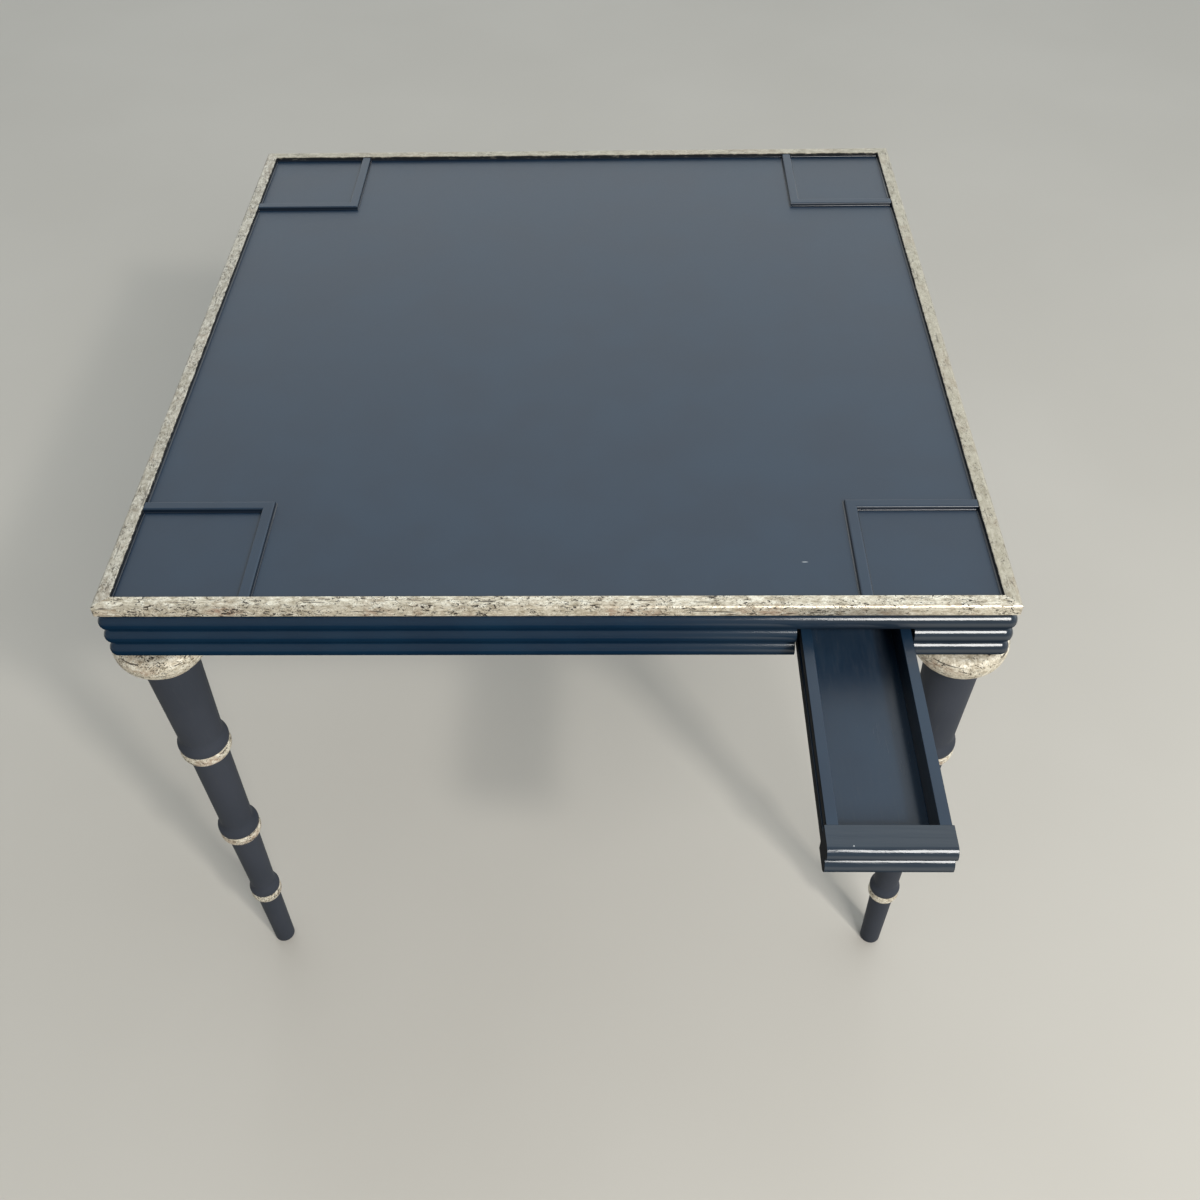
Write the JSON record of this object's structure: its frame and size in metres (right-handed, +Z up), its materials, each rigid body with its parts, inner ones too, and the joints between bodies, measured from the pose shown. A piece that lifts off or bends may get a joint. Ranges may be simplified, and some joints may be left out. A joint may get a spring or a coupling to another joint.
{
  "type": "games table",
  "caption": "Square games table with a recessed lacquered top, silver-leaf rim, reeded apron, bamboo-style turned legs with silver rings, and small slide-out drawers.",
  "frame": {"origin": "on the floor under the middle of the table top", "axes": "+X to the right as seen from the front, +Y to the back, +Z up; the pulled-out drawer is on the front, -Y, side"},
  "size_m": [0.939, 1.177, 0.737],
  "materials": {
    "navy_field": "satin navy lacquer on a board",
    "navy_lacquer": "satin to gloss navy lacquer on wood",
    "silver_leaf": "antiqued silver leaf on wood",
    "bare_wood": "unfinished hardwood",
    "steel": "zinc-plated steel"
  },
  "bodies": {
    "table": {"top_panel": "navy_field", "rim_front": "silver_leaf", "apron_front": "navy_lacquer", "front_drawer_guides": "bare_wood", "rim_right": "silver_leaf", "apron_right": "navy_lacquer", "right_drawer_guides": "bare_wood", "rim_back": "silver_leaf", "apron_back": "navy_lacquer", "back_drawer_guides": "bare_wood", "rim_left": "silver_leaf", "apron_left": "navy_lacquer", "left_drawer_guides": "bare_wood", "corner_strip_front_left_across": "navy_lacquer", "corner_strip_front_left_along": "navy_lacquer", "corner_block_front_left": "bare_wood", "leg_front_left": "navy_lacquer", "leg_rings_front_left": "silver_leaf", "collar_front_left": "silver_leaf", "corner_strip_front_right_across": "navy_lacquer", "corner_strip_front_right_along": "navy_lacquer", "corner_block_front_right": "bare_wood", "leg_front_right": "navy_lacquer", "leg_rings_front_right": "silver_leaf", "collar_front_right": "silver_leaf", "corner_strip_back_right_across": "navy_lacquer", "corner_strip_back_right_along": "navy_lacquer", "corner_block_back_right": "bare_wood", "leg_back_right": "navy_lacquer", "leg_rings_back_right": "silver_leaf", "collar_back_right": "silver_leaf", "corner_strip_back_left_across": "navy_lacquer", "corner_strip_back_left_along": "navy_lacquer", "corner_block_back_left": "bare_wood", "leg_back_left": "navy_lacquer", "leg_rings_back_left": "silver_leaf", "collar_back_left": "silver_leaf", "leg_studs": "steel", "leg_inserts": "steel", "drawer_stops": "bare_wood"},
    "front_drawer": {"front_drawer_face": "navy_lacquer", "front_drawer_left_side": "navy_lacquer", "front_drawer_right_side": "navy_lacquer", "front_drawer_back": "navy_lacquer", "front_drawer_bottom": "navy_lacquer"},
    "right_drawer": {"right_drawer_face": "navy_lacquer", "right_drawer_left_side": "navy_lacquer", "right_drawer_right_side": "navy_lacquer", "right_drawer_back": "navy_lacquer", "right_drawer_bottom": "navy_lacquer"},
    "back_drawer": {"back_drawer_face": "navy_lacquer", "back_drawer_left_side": "navy_lacquer", "back_drawer_right_side": "navy_lacquer", "back_drawer_back": "navy_lacquer", "back_drawer_bottom": "navy_lacquer"},
    "left_drawer": {"left_drawer_face": "navy_lacquer", "left_drawer_left_side": "navy_lacquer", "left_drawer_right_side": "navy_lacquer", "left_drawer_back": "navy_lacquer", "left_drawer_bottom": "navy_lacquer"}
  },
  "joints": [
    {"name": "front_drawer_slide", "type": "slide", "parent": "table", "child": "front_drawer", "axis": [0, -1, 0], "range_m": [-0.2495, 0.0455]},
    {"name": "right_drawer_slide", "type": "slide", "parent": "table", "child": "right_drawer", "axis": [1, 0, 0], "range_m": [0, 0.295]},
    {"name": "back_drawer_slide", "type": "slide", "parent": "table", "child": "back_drawer", "axis": [0, 1, 0], "range_m": [0, 0.295]},
    {"name": "left_drawer_slide", "type": "slide", "parent": "table", "child": "left_drawer", "axis": [-1, 0, 0], "range_m": [0, 0.295]}
  ]
}
